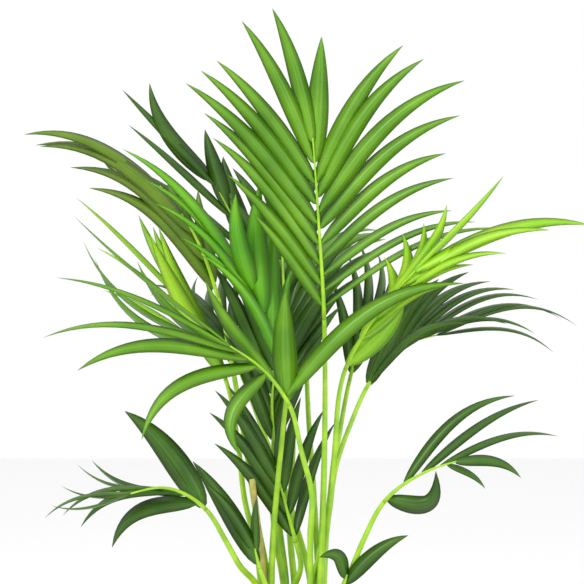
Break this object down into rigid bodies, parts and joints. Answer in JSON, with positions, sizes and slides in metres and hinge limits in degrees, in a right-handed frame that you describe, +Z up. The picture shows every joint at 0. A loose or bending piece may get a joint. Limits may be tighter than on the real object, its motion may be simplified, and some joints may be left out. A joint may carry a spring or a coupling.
{
  "type": "potted kentia palm",
  "caption": "Potted feather palm: a clump of arching fronds with long folded leaflets on slender petioles, in a plain round clay pot.",
  "frame": {"origin": "centre of the pot's flat underside", "axes": "+Z up, -Y towards the pictured side, +X to its right"},
  "size_m": [0.8079, 0.6251, 1.0563],
  "materials": {
    "clay": "matt",
    "soil": "matt",
    "stem": "matt",
    "petiole": "satin",
    "cut_petiole": "matt",
    "leaf_mid": "satin",
    "leaf_lime": "satin",
    "leaf_bright": "satin",
    "leaf_olive": "satin",
    "leaf_dark": "satin"
  },
  "bodies": {
    "root": {"cut_petiole": "cut_petiole", "frond_back_blade": "leaf_mid", "frond_back_left_blade": "leaf_dark", "frond_back_left_petiole": "petiole", "frond_back_petiole": "petiole", "frond_back_right_blade": "leaf_dark", "frond_back_right_petiole": "petiole", "frond_bright_blade": "leaf_bright", "frond_bright_petiole": "petiole", "frond_crown_blade": "leaf_mid", "frond_crown_petiole": "petiole", "frond_high_back_blade": "leaf_dark", "frond_high_back_petiole": "petiole", "frond_inner_blade": "leaf_dark", "frond_inner_petiole": "petiole", "frond_left_back_blade": "leaf_lime", "frond_left_back_petiole": "petiole", "frond_left_front_blade": "leaf_mid", "frond_left_front_petiole": "petiole", "frond_left_high_blade": "leaf_olive", "frond_left_high_petiole": "petiole", "frond_lime_blade": "leaf_lime", "frond_lime_petiole": "petiole", "frond_low_left_blade": "leaf_dark", "frond_low_left_petiole": "petiole", "frond_low_middle_blade": "leaf_dark", "frond_low_middle_petiole": "petiole", "frond_low_right_blade": "leaf_dark", "frond_low_right_petiole": "petiole", "frond_middle_back_blade": "leaf_dark", "frond_middle_back_petiole": "petiole", "frond_right_arch_blade": "leaf_dark", "frond_right_arch_petiole": "petiole", "frond_young_left_blade": "leaf_dark", "frond_young_left_petiole": "petiole", "frond_young_right_blade": "leaf_dark", "frond_young_right_petiole": "petiole", "pot": "clay", "soil": "soil", "stem_back": "stem", "stem_front": "stem", "stem_left": "stem", "stem_middle": "stem", "stem_right": "stem", "stem_young": "stem"}
  },
  "joints": []
}
